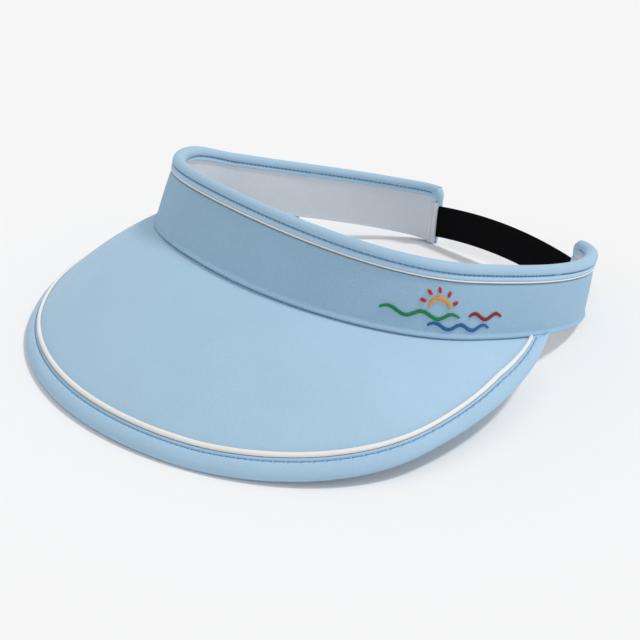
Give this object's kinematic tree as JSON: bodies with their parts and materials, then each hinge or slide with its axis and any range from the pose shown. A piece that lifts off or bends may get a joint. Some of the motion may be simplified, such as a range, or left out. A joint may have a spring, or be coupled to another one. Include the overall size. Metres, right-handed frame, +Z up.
{
  "type": "sports sun visor",
  "caption": "Open-crown sun visor lying flat: wide curved brim with edge binding, padded head band with a rolled top and piping, and a narrow elastic across the back.",
  "frame": {"origin": "under the middle of the bounding box, on the table the visor lies on", "axes": "+Z up from the table; the brim points along -Y; the wearer's left is +X; the elastic is at +Y"},
  "size_m": [0.2424, 0.2485, 0.0743],
  "materials": {
    "board": "hidden moulded sheet",
    "cover_blue": "fine microfibre, matt",
    "shell_blue": "fine microfibre, matt",
    "binding_blue": "soft knit, matt",
    "lining_white": "brushed knit, matt",
    "foam_white": "soft open-cell foam",
    "stiffener_white": "stiffened gauze",
    "piping_cream": "satin cord",
    "thread_blue": "thread",
    "thread_grey": "thread",
    "elastic_black": "ribbed elastic",
    "thread_orange": "satin thread",
    "thread_red": "satin thread",
    "thread_green": "satin thread",
    "thread_royal": "satin thread",
    "thread_maroon": "satin thread"
  },
  "bodies": {
    "front": {"brim_board": "board", "brim_top_cover": "cover_blue", "brim_under_cover": "cover_blue", "brim_edge_binding": "binding_blue", "brim_piping": "piping_cream", "brim_edge_stitching": "thread_blue", "brim_under_stitching": "thread_blue", "front_shell": "shell_blue", "front_stiffener": "stiffener_white", "front_foam": "foam_white", "front_lining": "lining_white", "front_top_binding": "binding_blue", "front_piping": "piping_cream", "front_stitching_outer": "thread_blue", "front_stitching_inner": "thread_blue", "motif_sun": "thread_orange", "motif_rays": "thread_red", "motif_wave_green": "thread_green", "motif_wave_blue": "thread_royal", "motif_spray": "thread_maroon"},
    "left_arm": {"left_shell": "shell_blue", "left_foam": "foam_white", "left_lining": "lining_white", "left_top_binding": "binding_blue", "left_piping": "piping_cream", "left_stitching_outer": "thread_blue", "left_stitching_inner": "thread_blue", "left_elastic": "elastic_black", "left_end_roll": "binding_blue", "left_end_facing": "lining_white", "left_end_stitching": "thread_grey"},
    "right_arm": {"right_shell": "shell_blue", "right_foam": "foam_white", "right_lining": "lining_white", "right_top_binding": "binding_blue", "right_piping": "piping_cream", "right_stitching_outer": "thread_blue", "right_stitching_inner": "thread_blue", "right_elastic": "elastic_black", "right_end_roll": "binding_blue", "right_end_facing": "lining_white", "right_end_stitching": "thread_grey"}
  },
  "joints": [
    {"name": "left_flex", "type": "hinge", "parent": "front", "child": "left_arm", "pos_m": [0.08715, 0.07137, 0.01267], "axis": [0.0084, 0.0044, -1], "range_deg": [-5, 10], "stiffness_Nm_per_rad": 0.2, "deforming": ["left_elastic"]},
    {"name": "right_flex", "type": "hinge", "parent": "front", "child": "right_arm", "pos_m": [-0.08715, 0.07137, 0.01267], "axis": [0.0084, -0.0044, 1], "range_deg": [-5, 10], "stiffness_Nm_per_rad": 0.2, "deforming": ["right_elastic"]}
  ]
}
